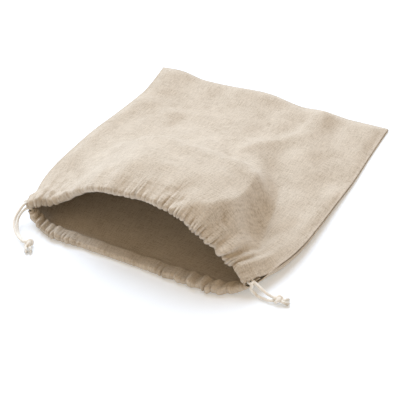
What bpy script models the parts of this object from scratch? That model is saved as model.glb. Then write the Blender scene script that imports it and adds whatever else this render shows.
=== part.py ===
"""Linen bread bag, lying on its back panel with its mouth propped open and its drawstrings let out.

Two linen panels are sewn together along both sides and the closed end. Each panel's mouth edge is turned
in and stitched down as a casing, and two cotton strings run through both casings. Each string goes once
round the mouth, and its two ends leave together at one side and share a knot.

Metres, +Z up. The mouth faces -Y, the closed end +Y, and the bag lies on Z = 0, its front panel uppermost.
"""

import math
from collections import namedtuple

import bmesh
import bpy
from mathutils import Matrix, Vector

RimStation = namedtuple("RimStation", "u y")
EndStation = namedtuple("EndStation", "x y lift")
SeamStation = namedtuple("SeamStation", "y left_x left_height right_x right_height")
DomeStation = namedtuple("DomeStation", "y crown left left_flat right right_flat droop")
Fold = namedtuple("Fold", "x0 y0 x1 y1 half_width rise")
Pleat = namedtuple("Pleat", "width rise")

# Cloth and string
CLOTH = 0.0010  # thickness of the linen
GAP = 0.0004  # air between two pieces that touch
STRING = 0.0032  # diameter of a drawstring
LAP = CLOTH + GAP  # between the middles of two layers that touch
PLAY = 0.0011  # air round a string in its casing
TUNNEL = STRING + 2 * PLAY + CLOTH  # between the middles of a casing's two layers, where the strings run
HEM = 0.020  # depth of the casing, from the rim to its stitching
LANES = {"left": 0.0052, "right": 0.0097}  # how far behind the rim each string runs
LANE_END = 0.0140  # how far behind the rim the casing starts to close towards its stitching

# Outline, seen from above
PANEL = 0.390  # from rim to closed end, along the cloth
BACK_RIM_Y = -0.2045
BACK_RIM_TURN = 0.0135  # how far the corners of the back rim draw back
BACK_RIM_START = 0.76  # u where they start to
FLOOR_SHARE = 0.86  # share of the back panel's width that lies flat, between its two raised sides
SIDE_TURN = (math.radians(70), math.radians(105))  # of those sides, at the mouth and behind it
SIDE_TURN_REACH = 0.060
SIDE_WIDTH = 0.010  # of a raised side, seen from above, unless the seam is higher than that
SIDE_SPREAD = 0.5  # how much wider it is at the mouth

# One row for each station along the front panel's rim, u from -1 to 1 across
FRONT_RIM = (
    RimStation(-1.00, -0.1870),
    RimStation(-0.85, -0.1780),
    RimStation(-0.68, -0.1745),
    RimStation(-0.42, -0.1840),
    RimStation(-0.18, -0.1890),
    RimStation(0.08, -0.1850),
    RimStation(0.35, -0.1880),
    RimStation(0.58, -0.1890),
    RimStation(0.74, -0.1845),
    RimStation(0.88, -0.1835),
    RimStation(1.00, -0.1870),
)

# One row for each station along the closed end
CLOSED_END = (
    EndStation(-0.172, 0.1900, 0.0000),
    EndStation(-0.136, 0.1885, 0.0040),
    EndStation(-0.102, 0.1865, 0.0000),
    EndStation(-0.064, 0.1880, 0.0006),
    EndStation(-0.002, 0.1885, 0.0055),
    EndStation(0.050, 0.1850, 0.0010),
    EndStation(0.082, 0.1865, 0.0030),
    EndStation(0.120, 0.1870, 0.0000),
    EndStation(0.174, 0.1900, 0.0000),
)
LIFT_REACH = 0.040  # how far before the closed end it starts to stand off the floor

# One row for each station along the side seams, from the mouth's corners to the closed end
SEAM = (
    SeamStation(-0.187, -0.1500, 0.0175, 0.1380, 0.0150),
    SeamStation(-0.164, -0.1580, 0.0185, 0.1515, 0.0160),
    SeamStation(-0.134, -0.1655, 0.0195, 0.1630, 0.0150),
    SeamStation(-0.096, -0.1700, 0.0180, 0.1700, 0.0125),
    SeamStation(-0.050, -0.1720, 0.0140, 0.1725, 0.0100),
    SeamStation(0.000, -0.1725, 0.0095, 0.1735, 0.0070),
    SeamStation(0.060, -0.1680, 0.0050, 0.1750, 0.0040),
    SeamStation(0.120, -0.1635, 0.0027, 0.1740, 0.0025),
    SeamStation(0.155, -0.1655, 0.0022, 0.1740, 0.0022),
    SeamStation(0.190, -0.1690, 0.0022, 0.1745, 0.0022),
)

# The front panel's rise over the room inside: one row for each section across the bag, from the rim on.
# crown is its height. left and right are how far it reaches to each side, and the flats the shares of that
# which stay high. droop is the share of the height that is gone where its right side ends.
DOME = (
    DomeStation(-0.189, 0.0660, 0.150, 0.18, 0.150, 0.28, 0.10),
    DomeStation(-0.155, 0.0740, 0.150, 0.18, 0.142, 0.58, 0.24),
    DomeStation(-0.122, 0.0725, 0.148, 0.16, 0.130, 0.74, 0.34),
    DomeStation(-0.085, 0.0650, 0.148, 0.18, 0.122, 0.76, 0.38),
    DomeStation(-0.052, 0.0575, 0.150, 0.22, 0.116, 0.75, 0.26),
    DomeStation(-0.018, 0.0350, 0.150, 0.04, 0.108, 0.72, 0.52),
    DomeStation(0.020, 0.0225, 0.145, 0.00, 0.104, 0.46, 0.62),
    DomeStation(0.060, 0.0145, 0.130, 0.00, 0.126, 0.10, 0.30),
    DomeStation(0.100, 0.0090, 0.125, 0.00, 0.140, 0.05, 0.00),
    DomeStation(0.145, 0.0040, 0.120, 0.00, 0.140, 0.00, 0.00),
    DomeStation(0.188, 0.0000, 0.120, 0.00, 0.120, 0.00, 0.00),
)
PUFF = 0.0050  # how far the cloth stands up just inside its seams
PUFF_REACH = 0.009
FRONT_LIFT = 0.0085  # how far the front casing stands above the seam's line at the mouth's corner
BACK_DROP = 0.0015  # how far the back casing stays below it
CORNER_REACH = 0.016  # how far behind the casing the two panels come together
CORNER_START = 0.80  # u where they start to part

# One row for each main fold of the front panel: a soft ridge, or a trough where rise is negative
FOLDS = (
    Fold(0.092, 0.186, 0.090, 0.140, 0.013, 0.0050),
    Fold(0.087, 0.122, 0.060, 0.070, 0.013, 0.0030),
    Fold(0.052, 0.060, 0.034, 0.012, 0.012, 0.0035),
    Fold(0.117, 0.160, 0.122, 0.114, 0.012, -0.0030),
    Fold(0.096, 0.110, 0.110, 0.020, 0.022, 0.0050),
    Fold(0.163, 0.090, 0.163, 0.020, 0.018, -0.0040),
    Fold(0.026, 0.118, 0.036, 0.072, 0.016, -0.0030),
    Fold(-0.100, 0.080, -0.068, 0.082, 0.012, 0.0035),
    Fold(-0.088, 0.054, -0.066, 0.046, 0.014, -0.0035),
    Fold(-0.160, 0.094, -0.120, 0.088, 0.011, 0.0025),
    Fold(-0.142, 0.126, -0.116, 0.114, 0.014, -0.0030),
    Fold(-0.126, 0.176, -0.098, 0.164, 0.012, -0.0030),
    Fold(-0.168, -0.084, -0.108, -0.128, 0.016, -0.0060),
    Fold(-0.128, -0.146, -0.096, -0.162, 0.013, -0.0030),
    Fold(-0.150, -0.020, -0.090, -0.035, 0.016, 0.0020),
    Fold(0.026, 0.006, 0.046, -0.036, 0.008, -0.0020),
    Fold(0.092, -0.164, 0.100, -0.154, 0.011, -0.0050),
    Fold(0.122, -0.158, 0.126, -0.150, 0.010, -0.0040),
    Fold(0.132, -0.156, 0.146, -0.148, 0.012, 0.0050),
)
FOLD_ENDS = 0.55  # share of a fold's rise that is left at its two ends

# One row for each pleat that the strings draw in, from the left corner of the mouth to the right one
FRONT_PLEATS = (
    Pleat(0.008, 0.0010),
    Pleat(0.011, 0.0036),
    Pleat(0.010, 0.0030),
    Pleat(0.012, 0.0036),
    Pleat(0.016, 0.0026),
    Pleat(0.020, 0.0022),
    Pleat(0.026, 0.0018),
    Pleat(0.028, 0.0020),
    Pleat(0.030, 0.0016),
    Pleat(0.026, 0.0020),
    Pleat(0.024, 0.0018),
    Pleat(0.018, 0.0022),
    Pleat(0.014, 0.0030),
    Pleat(0.011, 0.0046),
    Pleat(0.011, 0.0052),
    Pleat(0.010, 0.0038),
    Pleat(0.008, 0.0006),
)
BACK_PLEATS = (
    Pleat(0.010, 0.0002),
    Pleat(0.009, 0.0036),
    Pleat(0.008, 0.0046),
    Pleat(0.009, 0.0042),
    Pleat(0.012, 0.0036),
    Pleat(0.030, 0.0020),
    Pleat(0.040, 0.0020),
    Pleat(0.040, 0.0020),
    Pleat(0.036, 0.0024),
    Pleat(0.024, 0.0032),
    Pleat(0.016, 0.0048),
    Pleat(0.015, 0.0056),
    Pleat(0.014, 0.0048),
    Pleat(0.012, 0.0034),
    Pleat(0.012, 0.0002),
)
PLEAT_FADE = 0.022  # how fast the pleats die away behind the casing
FRONT_OVERHANG = 0.5  # how far a pleat leans out over the mouth, as a share of its rise
BACK_OVERHANG = 0.4

# How finely the cloth is divided
COLUMNS_PER_PLEAT = 3
FRONT_ROWS = 16
BACK_ROWS = 7
ROW_CROWDING = 1.35  # over 1, the rows stand closer together towards the mouth

# Where each string runs inside the casings, as u
LANE_STEP = 0.08  # between a lane's own points
LOOP_END = 0.8585  # where a string's loop ends, on the side that its strands leave from
STRAND_START = 0.8645
MOUTH_CORNER = 0.995  # where a string leaves a casing

# Where each string goes outside the casings, as points (x, y, z). A turn takes a string from the front
# casing into the back one. A strand goes from a casing to the knot, and a tail from the knot to its cut end.
TURNS = {
    "right_turn": (
        (0.1440, -0.1828, 0.0232),
        (0.1460, -0.1836, 0.0204),
        (0.1438, -0.1844, 0.0174),
        (0.1385, -0.1849, 0.0167),
    ),
    "left_turn": (
        (-0.1560, -0.1780, 0.0258),
        (-0.1585, -0.1788, 0.0226),
        (-0.1560, -0.1798, 0.0196),
        (-0.1500, -0.1806, 0.0190),
    ),
}
STRANDS = {
    "left_strand_1": (
        (-0.1550, -0.1830, 0.0250),
        (-0.1610, -0.1890, 0.0215),
        (-0.1630, -0.1990, 0.0165),
        (-0.1575, -0.2125, 0.0105),
        (-0.1460, -0.2245, 0.0062),
        (-0.1342, -0.2300, 0.0055),
    ),
    "left_strand_2": (
        (-0.1500, -0.1852, 0.0191),
        (-0.1550, -0.1875, 0.0170),
        (-0.1585, -0.1950, 0.0110),
        (-0.1565, -0.2065, 0.0055),
        (-0.1465, -0.2190, 0.0024),
        (-0.1322, -0.2253, 0.0036),
    ),
    "right_strand_1": (
        (0.1450, -0.1776, 0.0228),
        (0.1510, -0.1785, 0.0190),
        (0.1570, -0.1800, 0.0135),
        (0.1630, -0.1812, 0.0090),
        (0.1704, -0.1822, 0.0058),
    ),
    "right_strand_2": (
        (0.1388, -0.1800, 0.0167),
        (0.1447, -0.1795, 0.0157),
        (0.1510, -0.1808, 0.0110),
        (0.1550, -0.1835, 0.0055),
        (0.1620, -0.1862, 0.0026),
        (0.1703, -0.1870, 0.0034),
    ),
}
TAILS = {
    "left_tail_1": ((-0.1212, -0.2333, 0.0036), (-0.1180, -0.2372, 0.0028), (-0.1157, -0.2406, 0.0024)),
    "left_tail_2": ((-0.1252, -0.2353, 0.0036), (-0.1225, -0.2394, 0.0028), (-0.1203, -0.2430, 0.0024)),
    "right_tail_1": ((0.1840, -0.1812, 0.0036), (0.1868, -0.1782, 0.0028), (0.1890, -0.1750, 0.0024)),
    "right_tail_2": ((0.1851, -0.1853, 0.0042), (0.1890, -0.1838, 0.0030), (0.1922, -0.1812, 0.0024)),
}

# Each knot's centre, and its heading in degrees
KNOTS = {
    "left_knot": ((-0.1262, -0.2290, 0.0050), 5.0),
    "right_knot": ((0.1775, -0.1843, 0.0050), 0.0),
}
KNOT_SIZE = (0.0140, 0.0115, 0.0088)
KNOT_LOBES = 3
KNOT_TWIST = 5.0  # how far the lobes wind round the knot from end to end, in radians
KNOT_RIPPLE = 0.10
LOOP_SPACING = 3 * STRING  # between the points of a string's line
STRAND_SPACING = 2 * STRING


def smooth(t):
    """0 up to 0, 1 from 1 on, and a soft step between."""
    t = min(max(t, 0.0), 1.0)
    return t * t * (3 - 2 * t)


def swell(t):
    """Half a cosine wave, from 0 at t = 0 to 1 at t = 1."""
    return 0.5 - 0.5 * math.cos(math.pi * min(max(t, 0.0), 1.0))


def between(rows, column, at):
    """The smooth curve through a table's column, read where the table's first column is at."""
    at = min(max(at, rows[0][0]), rows[-1][0])
    i = max(k for k in range(len(rows) - 1) if rows[k][0] <= at)
    before, a, b, after = (rows[min(max(k, 0), len(rows) - 1)] for k in (i - 1, i, i + 1, i + 2))
    span = b[0] - a[0]
    start, end = getattr(a, column), getattr(b, column)
    leave = (end - getattr(before, column)) / (b[0] - before[0]) * span
    arrive = (getattr(after, column) - start) / (after[0] - a[0]) * span
    t = (at - a[0]) / span
    ease = 3 * t**2 - 2 * t**3
    return start + (end - start) * ease + (t**3 - 2 * t**2 + t) * leave + (t**3 - t**2) * arrive


def across(u, y):
    """Where a panel is at y, u from -1 to 1 across: its middle, half its width, and its seams' height."""
    left, left_height, right, right_height = (between(SEAM, column, y) for column in SeamStation._fields[1:])
    height = left_height + (right_height - left_height) * smooth((u + 1) / 2)
    return (left + right) / 2, (right - left) / 2, height


def corner(u, d):
    """1 at the mouth's corners, where the side seam stops short of the casings, and 0 away from them."""
    outward = smooth((abs(u) - CORNER_START) / (1 - CORNER_START))
    return outward * (1 - smooth((d - LANE_END) / (HEM - LANE_END + CORNER_REACH)))


def folds(x, y):
    total = 0.0
    for fold in FOLDS:
        along = Vector((fold.x1 - fold.x0, fold.y1 - fold.y0))
        from_start = Vector((x - fold.x0, y - fold.y0))
        t = min(max(from_start.dot(along) / along.length_squared, 0.0), 1.0)
        away = (from_start - t * along).length
        swelling = FOLD_ENDS + (1 - FOLD_ENDS) * math.sin(math.pi * t)
        total += fold.rise * math.exp(-((away / fold.half_width) ** 2)) * swelling
    return total


def dome(x, y):
    side, flat = ("left", "left_flat") if x < 0 else ("right", "right_flat")
    reach = abs(x) / between(DOME, side, y)
    droop = 0.0 if x < 0 else between(DOME, "droop", y) * reach**2
    return between(DOME, "crown", y) * (1 - droop) * swell((1 - reach) / (1 - between(DOME, flat, y)))


def lift(x, d):
    """How far the closed end stands off the floor."""
    return smooth((d - PANEL + LIFT_REACH) / LIFT_REACH) * max(0.0, between(CLOSED_END, "lift", x))


def plan(u, d, rim):
    """Where a panel's cloth lies from above: u from -1 to 1 across, d metres behind the rim."""
    share = d / PANEL
    y = rim + share * (CLOSED_END[0].y - rim)
    middle, half_width, height = across(u, y)
    y += smooth(2 * share - 1) * (between(CLOSED_END, "y", middle + u * half_width) - CLOSED_END[0].y)
    return middle, half_width, height, y


def front_sheet(u, d):
    """The middle of the front panel's cloth, as if it had no pleats or casing."""
    middle, half_width, height, y = plan(u, d, between(FRONT_RIM, "y", u))
    x = middle + u * half_width
    inside = min(half_width * (1 - abs(u)), PANEL - d)
    puff = 1 - math.exp(-((inside / PUFF_REACH) ** 2))
    z = height + LAP / 2 + FRONT_LIFT * corner(u, d) + lift(x, d)
    z += puff * (PUFF + folds(x, y)) + dome(x, y)
    return Vector((x, y, z))


def back_sheet(u, d):
    """The middle of the back panel's outer layer: flat on the floor, its sides turned up to the seams."""
    rim = BACK_RIM_Y + BACK_RIM_TURN * smooth((abs(u) - BACK_RIM_START) / (1 - BACK_RIM_START))
    middle, half_width, height, y = plan(u, d, rim)
    floor = CLOTH / 2
    top = max(height - LAP / 2 - BACK_DROP * corner(u, d), floor)
    at_mouth = 1 - smooth(d / SIDE_TURN_REACH)
    full_turn = SIDE_TURN[1] + (SIDE_TURN[0] - SIDE_TURN[1]) * at_mouth
    side = max(SIDE_WIDTH, top - floor) * (1 + SIDE_SPREAD * at_mouth)
    share = min(abs(u) / FLOOR_SHARE, 1.0)
    turn = full_turn * max(0.0, abs(u) - FLOOR_SHARE) / (1 - FLOOR_SHARE)
    x = (half_width - side) * share + side * math.sin(turn) / math.sin(full_turn)
    z = floor + (top - floor) * (1 - math.cos(turn)) / (1 - math.cos(full_turn))
    x = middle + math.copysign(x, u)
    return Vector((x, y, z + lift(x, d)))


def upward(sheet, u, d):
    """The unit normal on a sheet's upper side."""
    step = 1e-4
    crosswise = sheet(min(u + step, 1), d) - sheet(max(u - step, -1), d)
    lengthwise = sheet(u, d + step) - sheet(u, max(d - step, 0))
    return crosswise.cross(lengthwise).normalized()


def tunnel(d):
    """Between the middles of a casing's two layers at d: they come together at the stitching."""
    return TUNNEL + (LAP - TUNNEL) * smooth((d - LANE_END) / (HEM - LANE_END))


def pleat_edges(pleats):
    """Where each pleat starts and ends, as u from -1 to 1."""
    whole = sum(row.width for row in pleats)
    edges = [-1.0]
    for row in pleats:
        edges.append(edges[-1] + 2 * row.width / whole)
    edges[-1] = 1.0
    return edges


def pleat(pleats, u, d):
    """How far the pleats stand out of the cloth."""
    edges = pleat_edges(pleats)
    i = max(k for k in range(len(pleats)) if edges[k] <= u)
    t = (u - edges[i]) / (edges[i + 1] - edges[i])
    fade = math.exp(-max(0.0, d - HEM) / PLEAT_FADE)
    return pleats[i].rise * (0.5 - 0.5 * math.cos(2 * math.pi * t)) * fade


def casing_middle(sheet, u, d):
    """The middle of a casing's tunnel, where a string's line runs."""
    if sheet is front_sheet:
        return sheet(u, d) - LAP / 2 * upward(sheet, u, d)
    return sheet(u, d) + tunnel(d) / 2 * upward(sheet, u, d)


def front_cloth(u, d, side):
    rise = pleat(FRONT_PLEATS, u, d)
    out = upward(front_sheet, u, d) * side * (tunnel(d) / 2 + rise)
    return casing_middle(front_sheet, u, d) + out - Vector((0, FRONT_OVERHANG * rise * (d < HEM), 0))


def back_cloth(u, d, side):
    """The outer layer is the one on the floor, so only the inner layer stands up in pleats."""
    rise = pleat(BACK_PLEATS, u, d) if side < 0 else 0.0
    out = -upward(back_sheet, u, d) * side * (tunnel(d) / 2 + rise)
    return casing_middle(back_sheet, u, d) + out - Vector((0, BACK_OVERHANG * rise, 0))


def section(rows):
    """The stations of a panel's section: from the closed end to the rim, round it and back to the stitching.

    Each is (metres behind the rim, side). side is 1 on the outer layer, -1 on the inner, and between them on
    the rim's own turn.
    """
    half = TUNNEL / 2
    body = [(HEM + (PANEL - HEM) * (1 - k / rows) ** ROW_CROWDING, 1.0) for k in range(rows + 1)]
    casing = [(LANE_END, 1.0), (half, 1.0)]
    turn = [(half * (1 - math.cos(a)), math.sin(a)) for a in (math.radians(45), 0.0, math.radians(-45))]
    inner = [(half, -1.0), (LANE_END, -1.0), (HEM - CLOTH, -1.0)]
    return body + casing + turn + inner


def columns(pleats):
    """u of every column of the mesh: each pleat gets the same number of columns."""
    edges = pleat_edges(pleats)
    found = []
    for start, end in zip(edges, edges[1:]):
        found += [start + (end - start) * k / COLUMNS_PER_PLEAT for k in range(COLUMNS_PER_PLEAT)]
    return found + [1.0]


def material(name, colour, roughness):
    made = bpy.data.materials.new(name)
    made.use_nodes = True
    shader = made.node_tree.nodes["Principled BSDF"]
    shader.inputs["Base Color"].default_value = (*colour, 1)
    shader.inputs["Roughness"].default_value = roughness
    shader.inputs["Metallic"].default_value = 0.0
    return made


def link(name, data, finish):
    made = bpy.data.objects.new(name, data)
    data.materials.append(finish)
    bpy.context.scene.collection.objects.link(made)
    return made


def panel(name, cloth, pleats, rows, finish):
    """A sheet of cloth over the stations of its section, given its thickness by Solidify."""
    found, stations = columns(pleats), section(rows)
    bm = bmesh.new()
    bmesh.ops.create_grid(bm, x_segments=len(found) - 1, y_segments=len(stations) - 1, size=1)
    for v in bm.verts:
        i = round((v.co.x + 1) / 2 * (len(found) - 1))
        j = round((v.co.y + 1) / 2 * (len(stations) - 1))
        v.co = cloth(found[i], *stations[j])
    bmesh.ops.recalc_face_normals(bm, faces=bm.faces)
    mesh = bpy.data.meshes.new(name)
    bm.to_mesh(mesh)
    bm.free()
    made = link(name, mesh, finish)
    solid = made.modifiers.new("cloth", "SOLIDIFY")
    solid.thickness = CLOTH
    solid.offset = 0
    solid.use_even_offset = True
    return made


def smooth_route(points, spacing):
    """Points about this far apart along the smooth curve through a route's own points."""
    steps = 12  # straight pieces between two of the route's points, to measure along
    fine = []
    for k in range(len(points) - 1):
        before, a, b, after = (points[min(max(j, 0), len(points) - 1)] for j in (k - 1, k, k + 1, k + 2))
        for i in range(steps):
            t = i / steps
            bend = (2 * before - 5 * a + 4 * b - after) * t + (3 * a - before - 3 * b + after) * t * t
            fine.append(a + 0.5 * t * (b - before + bend))
    fine.append(points[-1])
    runs = [0.0]
    for a, b in zip(fine, fine[1:]):
        runs.append(runs[-1] + (b - a).length)
    count = max(round(runs[-1] / spacing), 2)
    found, k = [], 0
    for i in range(count + 1):
        at = runs[-1] * i / count
        while k < len(runs) - 2 and runs[k + 1] < at:
            k += 1
        found.append(fine[k].lerp(fine[k + 1], (at - runs[k]) / (runs[k + 1] - runs[k])))
    return found


def tube(name, route, spacing, finish):
    """A string along a route, as a curve with a round bevel and filled caps."""
    curve = bpy.data.curves.new(name, "CURVE")
    curve.dimensions = "3D"
    curve.bevel_depth = STRING / 2
    curve.bevel_resolution = 2
    curve.use_fill_caps = True
    line = curve.splines.new("POLY")
    points = smooth_route(route, spacing)
    line.points.add(len(points) - 1)
    for point, place in zip(line.points, points):
        point.co = (*place, 1)
    return link(name, curve, finish)


def lane(sheet, side, start, end):
    """A string's line inside a casing, from one u to another."""
    steps = max(round(abs(end - start) / LANE_STEP), 1)
    return [casing_middle(sheet, start + (end - start) * k / steps, LANES[side]) for k in range(steps + 1)]


def loop_route(side):
    """Through the front casing, round the far corner of the mouth, and back through the back casing."""
    near, turn = (-LOOP_END, "right_turn") if side == "left" else (LOOP_END, "left_turn")
    far_corner = math.copysign(MOUTH_CORNER, -near)
    front = lane(front_sheet, side, near, far_corner)
    back = lane(back_sheet, side, far_corner, near)
    return front + [Vector(point) for point in TURNS[turn]] + back


def strand_route(name):
    """Out of a casing and on to the knot. Strand 1 leaves the front casing, and strand 2 the back one."""
    side = name.split("_")[0]
    sheet = front_sheet if name.endswith("1") else back_sheet
    sign = -1 if side == "left" else 1
    inside = lane(sheet, side, sign * STRAND_START, sign * MOUTH_CORNER)
    return inside + [Vector(point) for point in STRANDS[name]]


def knot(name, centre, heading, finish):
    """The outer shape of an overhand knot: a lump with its long side along the string."""
    bm = bmesh.new()
    bmesh.ops.create_uvsphere(bm, u_segments=14, v_segments=8, radius=0.5)
    for v in bm.verts:
        winding = math.atan2(v.co.z, v.co.y) + KNOT_TWIST * v.co.x
        v.co *= 1 + KNOT_RIPPLE * math.sin(KNOT_LOBES * winding) * (1 - 4 * v.co.x**2)
    mesh = bpy.data.meshes.new(name)
    bm.to_mesh(mesh)
    bm.free()
    mesh.transform(Matrix.Rotation(heading, 4, "Z") @ Matrix.Diagonal((*KNOT_SIZE, 1)))
    mesh.shade_smooth()
    made = link(name, mesh, finish)
    made.location = centre
    return made


def main():
    for old in list(bpy.data.objects):
        bpy.data.objects.remove(old)
    linen = material("linen", (0.565, 0.490, 0.400), 0.95)
    cotton = material("cotton", (0.80, 0.75, 0.66), 0.9)
    panel("front_panel", front_cloth, FRONT_PLEATS, FRONT_ROWS, linen)
    panel("back_panel", back_cloth, BACK_PLEATS, BACK_ROWS, linen)
    for side in LANES:
        tube(side + "_loop", loop_route(side), LOOP_SPACING, cotton)
    for name in STRANDS:
        tube(name, strand_route(name), STRAND_SPACING, cotton)
    for name, (centre, heading) in KNOTS.items():
        knot(name, centre, math.radians(heading), cotton)
    for name, route in TAILS.items():
        tube(name, [Vector(point) for point in route], STRAND_SPACING, cotton)


main()
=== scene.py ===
"""Linen drawstring bread bag: its cloth and strings, and a plain studio to show it in.

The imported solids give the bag's place and size. Each is replaced here by a finer piece of the same shape: the
two linen panels with their casings and gathers, and the twisted cotton strings with their knots.

Metres, +Z up. The mouth faces -Y, the closed end +Y. The bag lies on Z = 0 with its front panel uppermost.
"""

import math
from collections import namedtuple
from functools import partial

import bmesh
import bpy
import numpy as np
from mathutils import Matrix, Vector


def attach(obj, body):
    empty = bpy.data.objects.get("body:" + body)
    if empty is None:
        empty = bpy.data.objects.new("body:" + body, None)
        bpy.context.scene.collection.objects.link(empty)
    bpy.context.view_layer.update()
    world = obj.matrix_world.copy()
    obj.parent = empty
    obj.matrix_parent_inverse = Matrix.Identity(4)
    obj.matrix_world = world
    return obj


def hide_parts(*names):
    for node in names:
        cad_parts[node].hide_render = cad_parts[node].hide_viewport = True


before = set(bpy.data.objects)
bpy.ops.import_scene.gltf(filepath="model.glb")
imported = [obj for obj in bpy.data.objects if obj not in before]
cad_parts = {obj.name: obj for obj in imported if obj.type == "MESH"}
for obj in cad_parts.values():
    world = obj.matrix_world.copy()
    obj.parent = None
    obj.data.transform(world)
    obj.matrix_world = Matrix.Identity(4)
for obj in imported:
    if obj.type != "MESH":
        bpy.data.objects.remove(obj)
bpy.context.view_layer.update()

bl_info = {
    "name": "Linen bread bag",
    "version": (1, 0, 0),
    "blender": (4, 5, 0),
    "location": "View3D > Sidebar > Bread Bag",
    "description": "Builds a linen drawstring bag on its packed solids",
    "category": "Object",
}


def rows_of(kind, *values):
    """A table of rows of one kind, which names its columns."""
    return tuple(kind(*row) for row in values)


RimStation = namedtuple("RimStation", "u y")
EndStation = namedtuple("EndStation", "x y lift")
SeamStation = namedtuple("SeamStation", "y left_x left_height right_x right_height")
DomeStation = namedtuple("DomeStation", "y crown left left_flat right right_flat droop")
Fold = namedtuple("Fold", "x0 y0 x1 y1 half_width rise")
Pleat = namedtuple("Pleat", "width rise")
Wave = namedtuple("Wave", "length rise fade wander")
Pucker = namedtuple("Pucker", "s pitch rise out")
End = namedtuple("End", "side start reach x y z")

# Shape of the cloth, the same as the solids have
# -----------------------------------------------

PANEL = 0.390  # from rim to closed end, along the cloth
HEM = 0.020  # depth of the casing, from the rim to its stitching
CLOTH = 0.0010  # thickness of the linen
GAP = 0.0004  # air between two pieces that touch
LAP = CLOTH + GAP  # between the middles of two layers that touch
TUNNEL = 0.0064  # between the middles of a casing's two layers
LANES = {"left": 0.0052, "right": 0.0097}  # how far behind the rim each string runs
LANE_END = 0.0140  # how far behind the rim the casing starts to close towards its stitching

# One row for each station along the front panel's rim, u from -1 to 1 across
FRONT_RIM = rows_of(
    RimStation,
    (-1.00, -0.1870),
    (-0.85, -0.1780),
    (-0.68, -0.1745),
    (-0.42, -0.1840),
    (-0.18, -0.1890),
    (0.08, -0.1850),
    (0.35, -0.1880),
    (0.58, -0.1890),
    (0.74, -0.1845),
    (0.88, -0.1835),
    (1.00, -0.1870),
)
BACK_RIM_Y = -0.2045
BACK_RIM_TURN = 0.0135  # how far the corners of the back rim draw back
BACK_RIM_START = 0.76  # u where they start to
FLOOR_SHARE = 0.86  # share of the back panel's width that lies flat, between its two raised sides
SIDE_TURN = (math.radians(70), math.radians(105))  # of those sides, at the mouth and behind it
SIDE_TURN_REACH = 0.060  # how far behind the mouth the one has gone over into the other
SIDE_WIDTH = 0.010  # of a raised side, seen from above, unless the seam is higher than that
SIDE_SPREAD = 0.5  # how much wider it is at the mouth

# One row for each station along the closed end
CLOSED_END = rows_of(
    EndStation,
    (-0.172, 0.1900, 0.0000),
    (-0.136, 0.1885, 0.0040),
    (-0.102, 0.1865, 0.0000),
    (-0.064, 0.1880, 0.0006),
    (-0.002, 0.1885, 0.0055),
    (0.050, 0.1850, 0.0010),
    (0.082, 0.1865, 0.0030),
    (0.120, 0.1870, 0.0000),
    (0.174, 0.1900, 0.0000),
)
LIFT_REACH = 0.040  # how far before the closed end it starts to stand off the floor

# One row for each station along the side seams, from the mouth's corners to the closed end
SEAM = rows_of(
    SeamStation,
    (-0.187, -0.1500, 0.0175, 0.1380, 0.0150),
    (-0.164, -0.1580, 0.0185, 0.1515, 0.0160),
    (-0.134, -0.1655, 0.0195, 0.1630, 0.0150),
    (-0.096, -0.1700, 0.0180, 0.1700, 0.0125),
    (-0.050, -0.1720, 0.0140, 0.1725, 0.0100),
    (0.000, -0.1725, 0.0095, 0.1735, 0.0070),
    (0.060, -0.1680, 0.0050, 0.1750, 0.0040),
    (0.120, -0.1635, 0.0027, 0.1740, 0.0025),
    (0.155, -0.1655, 0.0022, 0.1740, 0.0022),
    (0.190, -0.1690, 0.0022, 0.1745, 0.0022),
)

# The front panel's rise over the room inside: one row for each section across the bag, from the rim on.
# crown is its height. left and right are how far it reaches to each side, and the flats the shares of that
# which stay high. droop is the share of the height that is gone where its right side ends.
DOME = rows_of(
    DomeStation,
    (-0.189, 0.0660, 0.150, 0.18, 0.150, 0.28, 0.10),
    (-0.155, 0.0740, 0.150, 0.18, 0.142, 0.58, 0.24),
    (-0.122, 0.0725, 0.148, 0.16, 0.130, 0.74, 0.34),
    (-0.085, 0.0650, 0.148, 0.18, 0.122, 0.76, 0.38),
    (-0.052, 0.0575, 0.150, 0.22, 0.116, 0.75, 0.26),
    (-0.018, 0.0350, 0.150, 0.04, 0.108, 0.72, 0.52),
    (0.020, 0.0225, 0.145, 0.00, 0.104, 0.46, 0.62),
    (0.060, 0.0145, 0.130, 0.00, 0.126, 0.10, 0.30),
    (0.100, 0.0090, 0.125, 0.00, 0.140, 0.05, 0.00),
    (0.145, 0.0040, 0.120, 0.00, 0.140, 0.00, 0.00),
    (0.188, 0.0000, 0.120, 0.00, 0.120, 0.00, 0.00),
)
PUFF = 0.0050  # how far the cloth stands up just inside its seams
PUFF_REACH = 0.009
FRONT_LIFT = 0.0085  # how far the front casing stands above the seam's line at the mouth's corner
BACK_DROP = 0.0015  # how far the back casing stays below it
CORNER_REACH = 0.016  # how far behind the casing the two panels come together
CORNER_START = 0.80  # u where they start to part

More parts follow.
